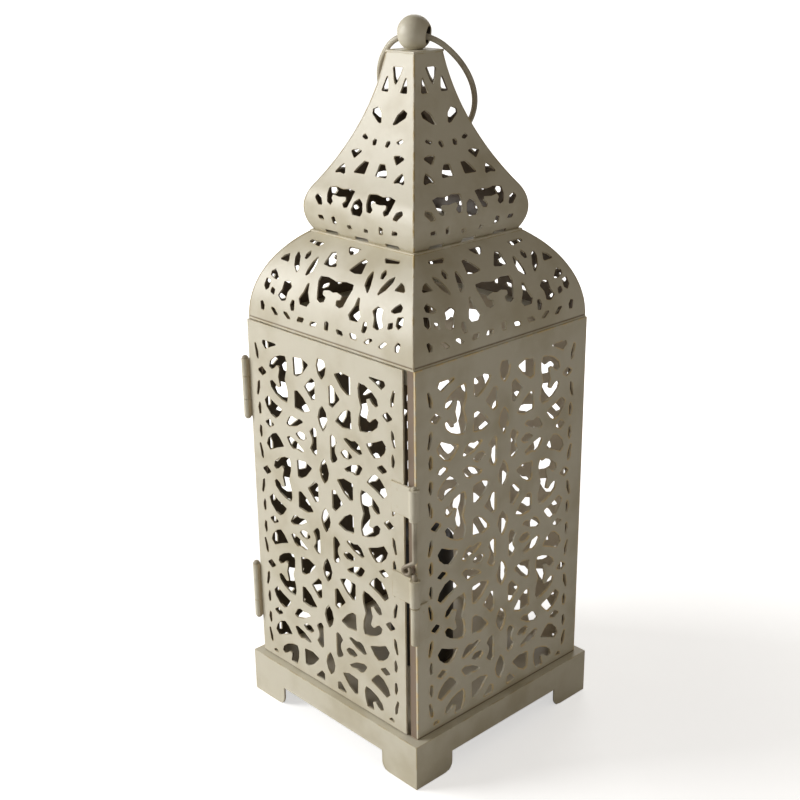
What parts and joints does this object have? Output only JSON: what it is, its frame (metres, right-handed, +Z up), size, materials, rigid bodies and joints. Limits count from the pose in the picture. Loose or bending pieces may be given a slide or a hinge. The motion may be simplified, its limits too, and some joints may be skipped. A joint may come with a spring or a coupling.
{
  "type": "candle lantern",
  "caption": "Square pierced sheet-metal candle lantern with hinged door and drop bolt, domed roof, flared spire, ball finial and hanging ring.",
  "frame": {"origin": "on the ground under the middle of the square base", "axes": "+Z up through the ball finial, -Y out through the door, +X towards the drop bolt"},
  "size_m": [0.1286, 0.1286, 0.3609],
  "materials": {
    "cream_paint": "antique cream paint, satin, gold-brown rub on edges",
    "pin_steel": "painted steel pin",
    "bolt_wire": "painted steel wire, rubbed",
    "ring_wire": "painted steel wire, rubbed",
    "candle_wax": "dark pillar wax, soft sheen",
    "wick_cotton": "waxed cotton"
  },
  "bodies": {
    "lantern_frame": {"base_tray": "cream_paint", "corner_post_front_left": "cream_paint", "corner_post_front_right": "cream_paint", "corner_post_back_right": "cream_paint", "corner_post_back_left": "cream_paint", "seam_frame": "cream_paint", "right_wall": "cream_paint", "back_wall": "cream_paint", "left_wall": "cream_paint", "lower_hinge_wall_leaf": "cream_paint", "lower_hinge_pin": "pin_steel", "upper_hinge_wall_leaf": "cream_paint", "upper_hinge_pin": "pin_steel", "bolt_keeper": "cream_paint", "dome_front_wall": "cream_paint", "dome_right_wall": "cream_paint", "dome_back_wall": "cream_paint", "dome_left_wall": "cream_paint", "neck_frame": "cream_paint", "spire_front_wall": "cream_paint", "spire_right_wall": "cream_paint", "spire_back_wall": "cream_paint", "spire_left_wall": "cream_paint", "spire_cap": "cream_paint", "finial_ball": "cream_paint", "finial_rivet": "pin_steel"},
    "door": {"door_leaf": "cream_paint", "lower_hinge_door_knuckle": "cream_paint", "upper_hinge_door_knuckle": "cream_paint", "bolt_guide_upper": "cream_paint", "bolt_guide_lower": "cream_paint"},
    "drop_bolt": {"drop_bolt": "bolt_wire"},
    "hanging_ring": {"hanging_ring": "ring_wire"},
    "candle": {"pillar_candle": "candle_wax", "candle_wick": "wick_cotton"}
  },
  "joints": [
    {"name": "door_hinge", "type": "hinge", "parent": "lantern_frame", "child": "door", "pos_m": [-0.0621, -0.0614, 0.12], "axis": [0, 0, -1], "range_deg": [0, 115]},
    {"name": "bolt_lift", "type": "slide", "parent": "door", "child": "drop_bolt", "axis": [0, 0, 1], "range_m": [0, 0.0195]},
    {"name": "ring_swing", "type": "hinge", "parent": "lantern_frame", "child": "hanging_ring", "pos_m": [0, 0, 0.3518], "axis": [0.8829, 0.4695, 0], "range_deg": [0, 288]},
    {"name": "candle_lift", "type": "slide", "parent": "lantern_frame", "child": "candle", "axis": [0, 0, 1], "range_m": [0, 0.05]}
  ]
}
